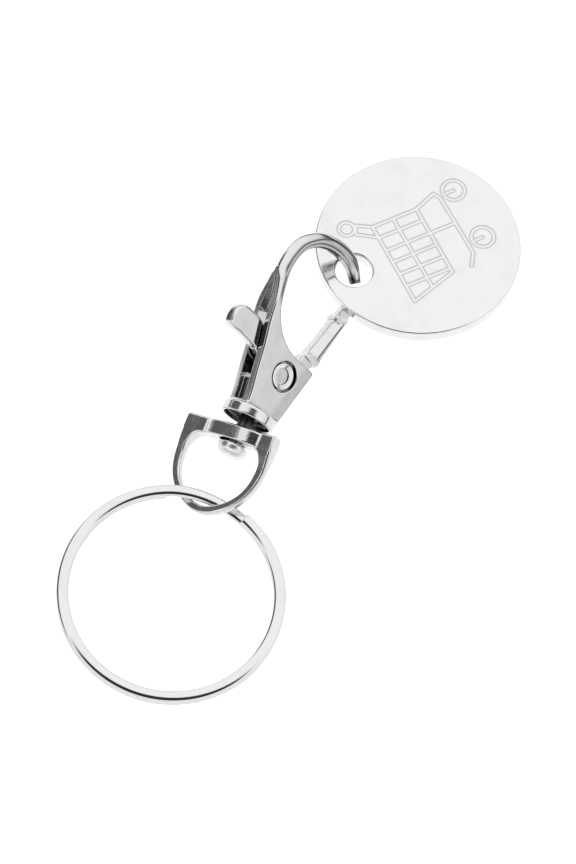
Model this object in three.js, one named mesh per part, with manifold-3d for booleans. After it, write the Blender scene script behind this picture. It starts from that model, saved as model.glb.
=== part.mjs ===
// A shopping-trolley token on a swivel snap clasp with a split ring for keys.
//
// Millimetres, +Z up, lying on a table as it is laid out: the clasp points away
// from the reader and to the right, the split ring is nearest.  Four rigid
// groups hang together: the clasp body with its rivets, the sprung gate, the
// swivelling eye, the split ring, and the token whose hole the hook runs through.
//
// Local frames
//   clasp  X across the clasp towards the gate, Y along the swivel axis towards
//          the hook, Z out of the front cheek, origin on the underside of the flange
//   eye    X along the crossbar, Y along the swivel axis, Z out of its face
//   ring   in its own plane, token in its own plane
import * as THREE from 'three';
import { mergeVertices } from 'three/addons/utils/BufferGeometryUtils.js';
import Module from 'manifold-3d';

// ---------------------------------------------------------------- dimensions
// token
const TOKEN_D = 23.0, TOKEN_T = 1.6, TOKEN_EDGE = 0.18;
const TOKEN_HOLE_D = 4.1, TOKEN_HOLE_OFFSET = 8.0;
// split ring: two turns of half-round wire
const RING_OD = 25.24, RING_WIRE_W = 1.36, RING_WIRE_H = 0.66, RING_PITCH = 0.74;
const RING_START_DEG = 93, RING_RAMP_DEG = 42;   // where the wire starts; arc over which it climbs one turn
// clasp body
const FLANGE_R = 3.1, FLANGE_T = 1.25;
const FLANGE_X = -0.28;                // the swivel axis is cast a little off centre
const CHEEK_HALF_T = 1.7;              // half thickness over the cheeks
const BOW_HALF_T = 0.98;               // half thickness of the hook bow
const CHANNEL_HALF = 0.8;              // half width of the channel for the lever
const PIVOT_X = 0.46, PIVOT_Y = 6.18;
const PIVOT_HOLE_R = 1.25, PIVOT_RECESS_R = 1.78, PIVOT_RECESS = 0.42;
const STUD_HOLE_R = 1.1;
// gate
const LEVER_HALF_T = 0.68, TAB_HALF_T = 0.64, ARM_HALF_T = 0.95, TIP_HALF_T = 0.5;
const HUB_R = 2.0, HUB_BORE_R = 1.25;
const GATE_END_R = 13.45;              // the gate's end swings past the hook's tip
// rivets
const PIN_SHANK_R = 1.15, PIN_HEAD_R = 1.42, PIN_HEAD_T = 0.26;
const STUD_R = 0.85, STUD_HEAD_R = 1.75, STUD_HEAD_T = 1.46;
// spring
const SPRING_WIRE_R = 0.1, SPRING_R = 1.58, SPRING_TURNS = 1.8, SPRING_PITCH = 0.23;
// eye
const EYE_BAR_H = 1.9, EYE_HALF_T = 0.5, EYE_BAR_HALF_T = 0.9;
const EYE_BOSS_HALF_T = 1.8, EYE_BOSS_HALF_W = 3.3, EYE_HOLE_X = 0.35;
const EYE_HOLE_R = 1.5, EYE_GAP = 0.9;

// ---------------------------------------------------------------- placing
const CLASP_AT = [-4.413, -0.30, 3.69], CLASP_HEADING = 25.76, CLASP_RISE = 7.1, CLASP_ROLL = 48.03;
const EYE_HEADING = 22.0, EYE_RISE = 9.6, EYE_ROLL = -21.0, EYE_SHIFT = -0.95;
const RING_AT = [-12.81, -19.9], RING_SLOPE_X = -0.075, RING_SLOPE_Y = 0.035;
const TOKEN_AT = [14.488, 21.25, 3.146], TOKEN_NX = 0.056, TOKEN_NY = 0.125;

// ---------------------------------------------------------------- solids
const wasm = await Module();
wasm.setup();

function toSolid(geometry) {
  const g1 = orient(geometry).clone();
  for (const name of Object.keys(g1.attributes)) if (name !== 'position') g1.deleteAttribute(name);
  const g = mergeVertices(g1, 1e-4);
  const solid = new wasm.Manifold(new wasm.Mesh({
    numProp: 3,
    vertProperties: new Float32Array(g.attributes.position.array),
    triVerts: new Uint32Array(g.index.array),
  }));
  return solid;
}
function toGeometry(solid) {
  const mesh = solid.getMesh();
  const g = new THREE.BufferGeometry();
  const n = mesh.numProp, count = mesh.vertProperties.length / n;
  const p = new Float32Array(count * 3);
  for (let i = 0; i < count; i++) for (let k = 0; k < 3; k++) p[3 * i + k] = mesh.vertProperties[n * i + k];
  g.setAttribute('position', new THREE.BufferAttribute(p, 3));
  g.setIndex(new THREE.BufferAttribute(new Uint32Array(mesh.triVerts), 1));
  g.computeVertexNormals();
  return g;
}
const moved = (g, x, y, z) => { g.translate(x, y, z); return g; };

function shapeOf(points) {
  const s = new THREE.Shape();
  points.forEach(([x, y], i) => (i ? s.lineTo(x, y) : s.moveTo(x, y)));
  s.closePath();
  return s;
}
// a plate of the given outline, centred on z = 0; a bevel keeps the outline
function plate(points, halfT, bevel = 0, bevelZ = bevel, segments = 1) {
  const g = new THREE.ExtrudeGeometry(shapeOf(points), {
    depth: 2 * (halfT - bevelZ), bevelEnabled: bevel > 0, bevelThickness: bevelZ,
    bevelSize: bevel, bevelOffset: -bevel, bevelSegments: segments, curveSegments: 12,
  });
  return moved(g, 0, 0, -(halfT - bevelZ));
}
// points along a smooth curve through the given ones
function smooth(points, n, closed = false) {
  const c = new THREE.CatmullRomCurve3(points.map(([x, y]) => new THREE.Vector3(x, y, 0)), closed, 'centripetal');
  return c.getPoints(n).map((p) => [p.x, p.y]);
}
function circle(x, y, r, n = 32) {
  return Array.from({ length: n }, (_, i) => [x + r * Math.cos((2 * Math.PI * i) / n), y + r * Math.sin((2 * Math.PI * i) / n)]);
}
// closed body through a row of sections with equal point counts
function loft(sections) {
  const m = sections[0].length, n = sections.length, pos = [], idx = [];
  for (const sec of sections) for (const p of sec) pos.push(...p);
  for (let i = 0; i + 1 < n; i++) for (let k = 0; k < m; k++) {
    const a = i * m + k, b = i * m + ((k + 1) % m), c = a + m, d = b + m;
    idx.push(a, b, c, b, d, c);
  }
  for (let k = 1; k + 1 < m; k++) {
    const o = (n - 1) * m;
    idx.push(0, k + 1, k, o, o + k, o + k + 1);
  }
  const g = new THREE.BufferGeometry();
  g.setAttribute('position', new THREE.BufferAttribute(new Float32Array(pos), 3));
  g.setIndex(idx);
  return orient(g);
}
// rounded rod in the XY plane: centre line [x, y, half width], half thickness along it
function rod(centre, n, halfT) {
  const c = new THREE.CatmullRomCurve3(centre.map(([x, y]) => new THREE.Vector3(x, y, 0)), false, 'centripetal');
  const w = new THREE.CatmullRomCurve3(centre.map(([, , h], i) => new THREE.Vector3(i, h, 0)), false, 'centripetal');
  const sections = [];
  for (let i = 0; i <= n; i++) {
    const p = c.getPoint(i / n), t = c.getTangent(i / n), hw = w.getPoint(i / n).y, ht = halfT(i / n), sec = [];
    for (let k = 0; k < 12; k++) {
      const a = ((k + 0.5) / 12) * 2 * Math.PI, ca = Math.cos(a), sa = Math.sin(a);
      const x = hw * Math.sign(ca) * Math.abs(ca) ** 0.72, z = ht * Math.sign(sa) * Math.abs(sa) ** 0.72;
      sec.push([p.x - t.y * x, p.y + t.x * x, z]);
    }
    sections.push(sec);
  }
  return loft(sections);
}
// a body of revolution about Z from [radius, z] pairs that start and end on the axis
function turned(profile, n = 32) {
  return new THREE.LatheGeometry(profile.map(([r, z]) => new THREE.Vector2(r, z)), n).rotateX(Math.PI / 2);
}
const alongY = (g) => g.rotateX(-Math.PI / 2);   // Z axis of a turned body to +Y

// ---------------------------------------------------------------- clasp body
const spineOuter = smooth([[-2.66, 1.0], [-2.85, 2.45], [-3.55, 5.26], [-4.13, 7.82], [-4.84, 10.28], [-5.2, 11.92], [-5.38, 13.4], [-5.66, 15.0], [-5.88, 16.2], [-5.95, 16.9]], 22);
const cheekInner = smooth([[-4.25, 16.9], [-4.36, 15.4], [-4.42, 13.9], [-4.14, 12.5], [-3.43, 11.36], [-2.26, 10.13], [-0.77, 9.24], [0.92, 8.78], [2.51, 8.72], [3.95, 8.48]], 24);
const rightEdge = [[4.1, 8.2], [2.47, 1.0]];
const cheekOutline = [...spineOuter, ...cheekInner, ...rightEdge];

// thickness of the body seen from the side: flat over the cheeks, then thinner
const sideProfile = (() => {
  const half = [[0.5, CHEEK_HALF_T], [12.6, CHEEK_HALF_T], [14.4, 1.5], [16.1, 1.08], [17.4, BOW_HALF_T]];
  const s = shapeOf([...half, ...half.slice().reverse().map(([y, z]) => [y, -z])]);
  const g = new THREE.ExtrudeGeometry(s, { depth: 20, bevelEnabled: false });
  // shape X is the clasp's Y, shape Y its Z, depth its X
  g.applyMatrix4(new THREE.Matrix4().set(0, 0, 1, -10, 1, 0, 0, 0, 0, 1, 0, 0, 0, 0, 0, 1));
  return toSolid(g);
})();

const bowLine = [[-5.1, 15.4, 0.78], [-5.15, 16.8, 0.82], [-4.95, 18.35, 0.86], [-4.1, 20.1, 0.88], [-2.75, 21.3, 0.9], [-1.3, 21.97, 0.92],
  [0.2, 22.1, 0.93], [1.9, 21.85, 0.92], [3.2, 21.3, 0.9], [4.05, 20.55, 0.82], [4.56, 19.88, 0.75]];

function claspBody() {
  let s = toSolid(plate(cheekOutline, CHEEK_HALF_T + 0.3)).intersect(sideProfile);
  s = s.add(toSolid(rod(bowLine, 30, (t) => BOW_HALF_T - 0.2 * Math.max(0, (t - 0.7) / 0.3))));
  s = s.add(toSolid(moved(alongY(turned([[0, 0], [FLANGE_R - 0.12, 0], [FLANGE_R, 0.12], [FLANGE_R, FLANGE_T - 0.12], [FLANGE_R - 0.12, FLANGE_T], [0, FLANGE_T]], 48)), FLANGE_X, 0, 0)));
  // channel for the lever, open at the spine and on the gate's side
  s = s.subtract(toSolid(plate([[-9, 4.9], [-2.6, 4.9], [-1.4, 3.7], [8, 3.7], [8, 12.0], [-3.3, 12.0], [-3.7, 11.7], [-9, 11.7]], CHANNEL_HALF)));
  // groove along the spine above and below the channel
  for (const [from, to, depth] of [[11.0, 16.3, 0.62], [1.6, 5.4, 0.6]]) {
    const line = spineOuter.filter(([, y]) => y > from && y < to);
    s = s.subtract(toSolid(plate([...line.map(([x, y]) => [x - 2, y]), ...line.slice().reverse().map(([x, y]) => [x + depth, y])], CHANNEL_HALF - (from > 10 ? 0.25 : 0))));
  }
  // pivot bore and its recesses in both cheeks
  s = s.subtract(toSolid(moved(turned([[0, -3], [PIVOT_HOLE_R, -3], [PIVOT_HOLE_R, 3], [0, 3]], 32), PIVOT_X, PIVOT_Y, 0)));
  for (const side of [1, -1]) {
    const z0 = side > 0 ? CHEEK_HALF_T - PIVOT_RECESS : -CHEEK_HALF_T - 1, z1 = side > 0 ? CHEEK_HALF_T + 1 : -CHEEK_HALF_T + PIVOT_RECESS;
    s = s.subtract(toSolid(moved(turned([[0, z0], [PIVOT_RECESS_R, z0], [PIVOT_RECESS_R, z1], [0, z1]], 40), PIVOT_X, PIVOT_Y, 0)));
  }
  // blind hole for the swivel stud
  s = s.subtract(toSolid(moved(alongY(turned([[0, -1], [STUD_HOLE_R, -1], [STUD_HOLE_R, 2.6], [0, 2.6]], 28)), FLANGE_X, 0, 0)));
  return toGeometry(s);
}
// turn a closed mesh right side out
function signedVolume(g) {
  const p = g.attributes.position.array, ix = g.index ? g.index.array : null, n = ix ? ix.length : p.length / 3;
  let v = 0;
  for (let i = 0; i < n; i += 3) {
    const [a, b, c] = [0, 1, 2].map((k) => 3 * (ix ? ix[i + k] : i + k));
    v += p[a] * (p[b + 1] * p[c + 2] - p[b + 2] * p[c + 1]) + p[a + 1] * (p[b + 2] * p[c] - p[b] * p[c + 2]) + p[a + 2] * (p[b] * p[c + 1] - p[b + 1] * p[c]);
  }
  return v / 6;
}
function orient(g) {
  if (signedVolume(g) > 0) return g;
  const h = g.index ? g.toNonIndexed() : g.clone();
  const p = h.attributes.position.array;
  for (let i = 0; i < p.length; i += 9) for (let k = 0; k < 3; k++) [p[i + 3 + k], p[i + 6 + k]] = [p[i + 6 + k], p[i + 3 + k]];
  return h;
}

// ---------------------------------------------------------------- gate lever
function gateLever() {
  const hub = toSolid(plate(circle(PIVOT_X, PIVOT_Y, HUB_R, 36), LEVER_HALF_T));
  // arm: leaves the cheeks, runs up to the knuckle and on below the hook's tip
  const arm = [[0.9, 7.4], [1.6, 8.2], [2.15, 9.0], [2.3, 9.7], [2.75, 10.15], [3.5, 12.4], [4.12, 15.3], [4.02, 15.45], [4.15, 15.95], [4.45, 16.1],
    [5.95, 16.2], [5.95, 15.6], [5.75, 15.35], [5.45, 15.2], [4.6, 10.4], [4.75, 9.9], [4.3, 9.3], [3.4, 8.0], [2.3, 6.4]];
  const tip = [[4.3, 15.8], [4.4, 16.4], [4.85, 17.4], [5.3, 18.5], [5.3, 19.6], [6.1, 19.6], [6.1, 17.6], [5.95, 16.2], [5.8, 15.8]];
  const thin = toSolid(plate(arm, LEVER_HALF_T)).add(toSolid(plate(tip, TIP_HALF_T)));
  const thick = toSolid(rod([[3.5, 9.45, 1.2], [3.56, 9.8, 1.22], [3.75, 10.2, 0.98], [4.3, 12.6, 0.85], [4.86, 15.1, 0.7], [4.98, 15.5, 0.88], [5.1, 16.1, 0.84]], 24, () => ARM_HALF_T));
  const armSolid = thin.add(thick);
  const swing = toSolid(plate(circle(PIVOT_X, PIVOT_Y, GATE_END_R, 160), 3));
  // thumb tab with its round end, and the web that joins it to the hub
  const outline = smooth([[-4.95, 10.3], [-6.2, 10.5], [-7.45, 10.6], [-8.05, 10.5], [-8.6, 10.05], [-8.9, 9.3], [-8.95, 8.57], [-8.8, 8.0], [-8.2, 7.7], [-6.5, 7.55], [-4.2, 7.2]], 24);
  const tab = toSolid(plate([...outline, [-1.2, 5.9], [0.7, 5.1], [0.9, 7.6], [-0.6, 8.2], [-2.6, 9.4]], TAB_HALF_T, 0.1));
  let s = hub.add(tab).add(armSolid.intersect(swing));
  s = s.subtract(toSolid(moved(turned([[0, -3], [HUB_BORE_R, -3], [HUB_BORE_R, 3], [0, 3]], 32), PIVOT_X, PIVOT_Y, 0)));
  // pocket for the spring in the hub's front half, open below for its two legs
  s = s.subtract(toSolid(moved(plate(circle(PIVOT_X, PIVOT_Y, 1.86, 32), 0.5), 0, 0, 0.5)));
  s = s.subtract(toSolid(moved(plate([[-2.7, 3.0], [1.0, 3.0], [1.0, 5.0], [-1.3, 6.5], [-2.7, 6.1]], 0.5), 0, 0, 0.5)));
  return toGeometry(s);
}

// ---------------------------------------------------------------- rivets
function pivotPin() {
  const z0 = CHEEK_HALF_T - PIVOT_RECESS + 0.06, z1 = z0 + PIN_HEAD_T;
  const half = [[0, 0.55], [0.82, 0.55], [0.9, z1 - 0.08], [0.98, z1], [PIN_HEAD_R - 0.1, z1], [PIN_HEAD_R, z1 - 0.1], [PIN_HEAD_R, z0], [PIN_SHANK_R, z0]];
  const g = turned([...half.map(([r, z]) => [r, -z]), ...half.slice().reverse()], 36);
  return moved(orient(g), PIVOT_X, PIVOT_Y, 0);
}
function swivelStud() {
  // shank up into the body, domed head under the crossbar
  const y1 = -(EYE_GAP + EYE_BAR_H + 0.4), y0 = y1 - STUD_HEAD_T;
  return moved(orient(alongY(turned([[0, y0], [0.9, y0 + 0.06], [1.45, y0 + 0.32], [STUD_HEAD_R, y0 + 0.62], [STUD_HEAD_R, y1 - 0.06], [STUD_HEAD_R - 0.08, y1], [STUD_R, y1], [STUD_R, 2.3], [0, 2.4]], 32))), FLANGE_X, 0, 0);
}

// ---------------------------------------------------------------- spring
class SpringPath extends THREE.Curve {
  getPoint(t, target = new THREE.Vector3()) {
    // first leg, coil, second leg
    const L1 = 1.5, L2 = 2.4, arc = 2 * Math.PI * SPRING_R * SPRING_TURNS, total = L1 + arc + L2;
    let s = t * total;
    const a0 = Math.PI * 1.06, a1 = a0 - 2 * Math.PI * SPRING_TURNS;
    const z0 = 0.16, z1 = z0 + SPRING_PITCH * SPRING_TURNS;
    if (s < L1) {
      const a = a0, d = L1 - s;
      return target.set(PIVOT_X + SPRING_R * Math.cos(a) - Math.sin(a) * d * 1, PIVOT_Y + SPRING_R * Math.sin(a) + Math.cos(a) * d * 1, z0);
    }
    s -= L1;
    if (s < arc) {
      const a = a0 - s / SPRING_R;
      return target.set(PIVOT_X + SPRING_R * Math.cos(a), PIVOT_Y + SPRING_R * Math.sin(a), z0 + ((z1 - z0) * s) / arc);
    }
    s -= arc;
    return target.set(PIVOT_X + SPRING_R * Math.cos(a1) + Math.sin(a1) * s, PIVOT_Y + SPRING_R * Math.sin(a1) - Math.cos(a1) * s, z1);
  }
}
function gateSpring() {
  const n = 6, s = shapeOf(Array.from({ length: n }, (_, i) => [SPRING_WIRE_R * Math.cos((2 * Math.PI * i) / n), SPRING_WIRE_R * Math.sin((2 * Math.PI * i) / n)]));
  return orient(new THREE.ExtrudeGeometry(s, { steps: 60, bevelEnabled: false, extrudePath: new SpringPath() }));
}

// ---------------------------------------------------------------- swivel eye
const EYE_HALF = [[5.62, 0], [5.72, -1.5], [5.8, -3.3], [5.74, -4.6], [5.52, -5.9], [5.1, -7.05], [4.45, -8.15], [3.45, -9.2], [2.25, -10.0], [1.15, -10.48], [0, -10.65]];
function eyeEdge(inset, n) {
  // right half of the D from the crossbar's end down to the bottom of the loop
  const c = new THREE.CatmullRomCurve3(EYE_HALF.map(([x, y]) => new THREE.Vector3(x, y, 0)), false, 'centripetal');
  const pts = [];
  for (let i = 0; i <= n; i++) {
    const p = c.getPoint(i / n), t = c.getTangent(i / n), w = inset(-p.y);
    pts.push([p.x + t.y * w, p.y - t.x * w]);
  }
  pts[n][0] = 0;
  return pts;
}
function swivelEye() {
  const mirror = (pts) => pts.slice(0, -1).reverse().map(([x, y]) => [-x, y]);
  const outer = eyeEdge(() => 0, 20);
  let s = toSolid(plate([...outer, ...mirror(outer)], EYE_HALF_T, 0.2, 0.2));
  // thicker end blocks of the crossbar
  s = s.add(toSolid(plate([[5.62, 0], [5.74, -1.9], [5.3, -2.6], [-5.3, -2.6], [-5.74, -1.9], [-5.62, 0]], EYE_BAR_HALF_T, 0.2, 0.2)));
  // opening with filleted corners below the crossbar; the legs get thinner downwards
  const leg = (y) => 1.15 - 0.2 * Math.min(1, Math.max(0, (y - 2.6) / 5));
  const inner = eyeEdge(leg, 24).filter(([, y]) => y < -3.4);
  const open = [[3.0, -EYE_BAR_H], [3.75, -2.05], [4.25, -2.5], ...inner, ...mirror(inner), [-4.25, -2.5], [-3.75, -2.05], [-3.0, -EYE_BAR_H]];
  s = s.subtract(toSolid(plate(open, 3)));
  // the boss round the stud
  const boss = [];
  for (let i = 0; i < 32; i++) {
    const a = (2 * Math.PI * i) / 32;
    boss.push([EYE_HOLE_X + EYE_BOSS_HALF_W * Math.sign(Math.cos(a)) * Math.abs(Math.cos(a)) ** 0.8, EYE_BOSS_HALF_T * Math.sign(Math.sin(a)) * Math.abs(Math.sin(a)) ** 0.9]);
  }
  const b = new THREE.ExtrudeGeometry(shapeOf(boss), { depth: EYE_BAR_H - 0.2, bevelEnabled: true, bevelThickness: 0.1, bevelSize: 0.1, bevelOffset: -0.1, bevelSegments: 1 });
  b.translate(0, 0, 0.1);
  s = s.add(toSolid(b.rotateX(Math.PI / 2)));
  s = s.subtract(toSolid(moved(alongY(turned([[0, -EYE_BAR_H - 1], [EYE_HOLE_R, -EYE_BAR_H - 1], [EYE_HOLE_R, 1], [0, 1]], 28)), EYE_HOLE_X, 0, 0)));
  return toGeometry(s);
}

// ---------------------------------------------------------------- split ring
class RingPath extends THREE.Curve {
  constructor(r, start) { super(); this.r = r; this.start = start; }
  getPoint(t, target = new THREE.Vector3()) {
    const total = 720 - RING_RAMP_DEG - 3, a = t * total;
    const k = Math.min(1, Math.max(0, (a - (360 - RING_RAMP_DEG)) / (RING_RAMP_DEG - 3)));
    const z = -RING_PITCH / 2 + RING_PITCH * (0.5 - 0.5 * Math.cos(Math.PI * k));
    const th = ((this.start + a) * Math.PI) / 180;
    return target.set(this.r * Math.cos(th), this.r * Math.sin(th), z);
  }
}
function splitRing() {
  const hw = RING_WIRE_W / 2, hh = RING_WIRE_H / 2, c = 0.16;
  // section: shape X becomes the ring's axis, shape Y its radius
  const sec = [[-hh, -hw + c], [-hh + c, -hw], [hh - c, -hw], [hh, -hw + c], [hh, hw - c], [hh - c, hw], [-hh + c, hw], [-hh, hw - c]];
  const path = new RingPath(RING_OD / 2 - hw, RING_START_DEG);
  const steps = 120, sections = [];
  for (let i = 0; i <= steps; i++) {
    const p = path.getPoint(i / steps), out = new THREE.Vector3(p.x, p.y, 0).normalize();
    sections.push(sec.map(([a, b]) => [p.x + out.x * b, p.y + out.y * b, p.z + a]));
  }
  return loft(sections);
}

// ---------------------------------------------------------------- token
function tokenDisc() {
  const r = TOKEN_D / 2, h = TOKEN_T / 2, e = TOKEN_EDGE;
  let s = toSolid(orient(turned([[0, -h], [r - e, -h], [r, -h + e], [r, h - e], [r - e, h], [0, h]], 96)));
  const hr = TOKEN_HOLE_D / 2;
  s = s.subtract(toSolid(moved(orient(turned([[0, -h - 1], [hr + 1.2, -h - 1], [hr, -h + 0.2], [hr, h - 0.2], [hr + 1.2, h + 1], [0, h + 1]], 32)), -TOKEN_HOLE_OFFSET, 0, 0)));
  return toGeometry(s);
}

// ---------------------------------------------------------------- assembly
const nickel = (color, roughness) => new THREE.MeshStandardMaterial({ color, roughness, metalness: 1.0 });
function part(name, geometry, material) {
  geometry.computeVertexNormals();
  const mesh = new THREE.Mesh(geometry, material);
  mesh.name = name;
  return mesh;
}
const rad = THREE.MathUtils.degToRad;
function placed([x, y, z], heading, rise, roll) {
  const g = new THREE.Group();
  g.position.set(x, y, z);
  g.quaternion.setFromRotationMatrix(new THREE.Matrix4().makeRotationZ(-rad(heading))
    .multiply(new THREE.Matrix4().makeRotationX(rad(rise)))
    .multiply(new THREE.Matrix4().makeRotationY(rad(roll))));
  return g;
}

const assembly = new THREE.Group();
assembly.name = 'trolley_token_clasp';
const table = new THREE.Group();
assembly.add(table);

const clasp = placed(CLASP_AT, CLASP_HEADING, CLASP_RISE, CLASP_ROLL);
clasp.add(part('clasp_body', claspBody(), nickel(0xd4d5d6, 0.2)));
clasp.add(part('gate_lever', gateLever(), nickel(0xd2d3d4, 0.2)));
clasp.add(part('gate_pivot_pin', pivotPin(), nickel(0xc6c7c9, 0.25)));
clasp.add(part('gate_spring', gateSpring(), nickel(0xb4b6b9, 0.3)));
clasp.add(part('swivel_stud', swivelStud(), nickel(0xcccdcf, 0.25)));
table.add(clasp);

// the eye hangs loose on its stud and leans a few degrees
const eye = placed([0, 0, 0], EYE_HEADING, EYE_RISE, EYE_ROLL);
{
  const u = new THREE.Vector3(0, 1, 0).applyQuaternion(clasp.quaternion), v = new THREE.Vector3(1, 0, 0).applyQuaternion(clasp.quaternion);
  const b = new THREE.Vector3(1, 0, 0).applyQuaternion(eye.quaternion);
  eye.position.copy(clasp.position).addScaledVector(v, FLANGE_X).addScaledVector(u, -EYE_GAP).addScaledVector(b, EYE_SHIFT);
}
eye.add(part('swivel_eye', swivelEye(), nickel(0xcfd0d2, 0.2)));
table.add(eye);

// the ring lies on the table, its far side held up by the eye's leg
const ringGroup = new THREE.Group();
{
  const rn = new THREE.Vector3(-RING_SLOPE_X, -RING_SLOPE_Y, 1).normalize();
  ringGroup.quaternion.setFromUnitVectors(new THREE.Vector3(0, 0, 1), rn);
  ringGroup.position.set(RING_AT[0], RING_AT[1], (RING_OD / 2) * Math.sqrt(1 - rn.z * rn.z) + ((RING_PITCH + RING_WIRE_H) / 2) * rn.z);
}
ringGroup.add(part('split_ring', splitRing(), nickel(0xdcdddf, 0.15)));
table.add(ringGroup);

const tokenGroup = new THREE.Group();
const tn = new THREE.Vector3(TOKEN_NX, TOKEN_NY, 1).normalize();
{
  // token's own X points from the hole to the far rim, as laid out on the table
  const far = new THREE.Vector3(0.895, 0.446, 0);
  far.addScaledVector(tn, -far.dot(tn)).normalize();
  const side = new THREE.Vector3().crossVectors(tn, far);
  tokenGroup.quaternion.setFromRotationMatrix(new THREE.Matrix4().makeBasis(far, side, tn));
  tokenGroup.position.set(...TOKEN_AT).addScaledVector(tn, -TOKEN_T / 2);
}
tokenGroup.add(part('token_disc', tokenDisc(), nickel(0xe2e3e4, 0.12)));
table.add(tokenGroup);

// origin in the middle of the bottom of the bounding box
{
  assembly.updateMatrixWorld(true);
  const box = new THREE.Box3().setFromObject(assembly, true);
  table.position.set(-(box.min.x + box.max.x) / 2, -(box.min.y + box.max.y) / 2, -box.min.z);
}

export default assembly;
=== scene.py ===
import math

import bpy
import numpy as np
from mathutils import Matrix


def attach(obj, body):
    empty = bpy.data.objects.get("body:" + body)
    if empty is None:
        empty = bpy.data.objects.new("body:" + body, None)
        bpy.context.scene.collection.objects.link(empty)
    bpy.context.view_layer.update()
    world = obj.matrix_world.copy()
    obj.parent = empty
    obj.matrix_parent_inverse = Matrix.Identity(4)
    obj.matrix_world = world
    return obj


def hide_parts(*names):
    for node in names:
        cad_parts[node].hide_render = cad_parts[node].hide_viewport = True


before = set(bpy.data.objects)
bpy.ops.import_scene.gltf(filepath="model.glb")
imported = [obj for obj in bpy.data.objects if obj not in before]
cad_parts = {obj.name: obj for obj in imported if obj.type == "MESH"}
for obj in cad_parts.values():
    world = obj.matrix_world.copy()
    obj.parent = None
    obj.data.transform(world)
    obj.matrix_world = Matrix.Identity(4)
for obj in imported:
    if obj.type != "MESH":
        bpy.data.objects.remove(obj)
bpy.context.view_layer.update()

MM = 0.001

# ------------------------------------------------------------------ places
# origin and unit axes of each group's own millimetre frame, in the row frame


class Place:
    def __init__(self, o, x, y, z):
        self.o = np.array(o, float)
        self.a = np.array([x, y, z], float)

    def point(self, p):
        return (np.asarray(p, float) @ self.a + self.o) * MM

    def way(self, d):
        return np.asarray(d, float) @ self.a


CLASP = Place((-4.68258, -0.36021, 3.67680), (0.64222, -0.20787, -0.73779), (0.43127, 0.89372, 0.12360), (0.63369, -0.39757, 0.66361))
EYE = Place((-6.05160, -0.72147, 3.43646), (0.84321, -0.40514, 0.35335), (0.36936, 0.91420, 0.16677), (-0.39060, -0.01011, 0.92051))
RING = Place((-13.07958, -19.96021, 1.72535), (0.99720, 0.00131, -0.07474), (0.00131, 0.99939, 0.03488), (0.07474, -0.03488, 0.99659))
TOKEN = Place((14.17404, 21.09071, 2.34020), (0.89414, 0.43542, -0.10450), (-0.44434, 0.89167, -0.08658), (0.05548, 0.12384, 0.99075))

# ------------------------------------------------------------------ distance fields
# A field holds its value and, where asked for, its slope, so that a shape made of
# smooth joins and cuts gives exact surface directions.


class F:
    __slots__ = ("v", "g")

    def __init__(self, v, g=None):
        self.v, self.g = v, g

    def __add__(self, o):
        if isinstance(o, F):
            return F(self.v + o.v, None if self.g is None else [a + b for a, b in zip(self.g, o.g)])
        return F(self.v + o, self.g)

    __radd__ = __add__

    def __neg__(self):
        return F(-self.v, None if self.g is None else [-a for a in self.g])

    def __sub__(self, o):
        return self + (-o)

    def __rsub__(self, o):
        return (-self) + o

    def __mul__(self, o):
        if isinstance(o, F):
            return F(self.v * o.v, None if self.g is None else [a * o.v + b * self.v for a, b in zip(self.g, o.g)])
        return F(self.v * o, None if self.g is None else [a * o for a in self.g])

    __rmul__ = __mul__


def fabs(a):
    s = np.where(a.v < 0, -1.0, 1.0)
    return F(a.v * s, None if a.g is None else [x * s for x in a.g])


def mixed(v, wa, a, wb, b):
    if a.g is None:
        return F(v)
    return F(v, [wa * x + wb * y for x, y in zip(a.g, b.g)])


def const(c, like):
    return F(np.zeros_like(like.v) + c, None if like.g is None else [x * 0 for x in like.g])


def smax(a, b, k=0.0):
    """Larger of two fields, its crease rounded over k."""
    if not isinstance(b, F):
        b = const(b, a)
    if np.isscalar(k) and k <= 0:
        w = (a.v > b.v) * 1.0
        return mixed(np.maximum(a.v, b.v), w, a, 1 - w, b)
    d = a.v - b.v
    h = np.maximum(k - np.abs(d), 0) / k
    w = np.where(d > 0, 1 - h / 2, h / 2)
    return mixed(np.maximum(a.v, b.v) + h * h * k / 4, w, a, 1 - w, b)


def smin(a, b, k=0.0):
    if not isinstance(b, F):
        b = const(b, a)
    return -smax(-a, -b, k)


def bevelled(a, b, c, k):
    """Two fields meet over a flat of leg c, its creases rounded over k."""
    return smax(smax(a, b, k * 0.5), (a + b + c) * math.sqrt(0.5), k)


def length(a, b):
    v = np.sqrt(a.v ** 2 + b.v ** 2) + 1e-9
    return F(v, None if a.g is None else [(a.v * x + b.v * y) / v for x, y in zip(a.g, b.g)])


def rise(a, lo, hi):
    """0 below lo, 1 above hi, smooth between."""
    t = np.clip((a.v - lo) / (hi - lo), 0, 1)
    s = 6 * t * (1 - t) / (hi - lo)
    return F(t * t * (3 - 2 * t), None if a.g is None else [x * s for x in a.g])


def step01(x, lo, hi):
    t = np.clip((x - lo) / (hi - lo), 0, 1)
    return t * t * (3 - 2 * t)


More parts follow.
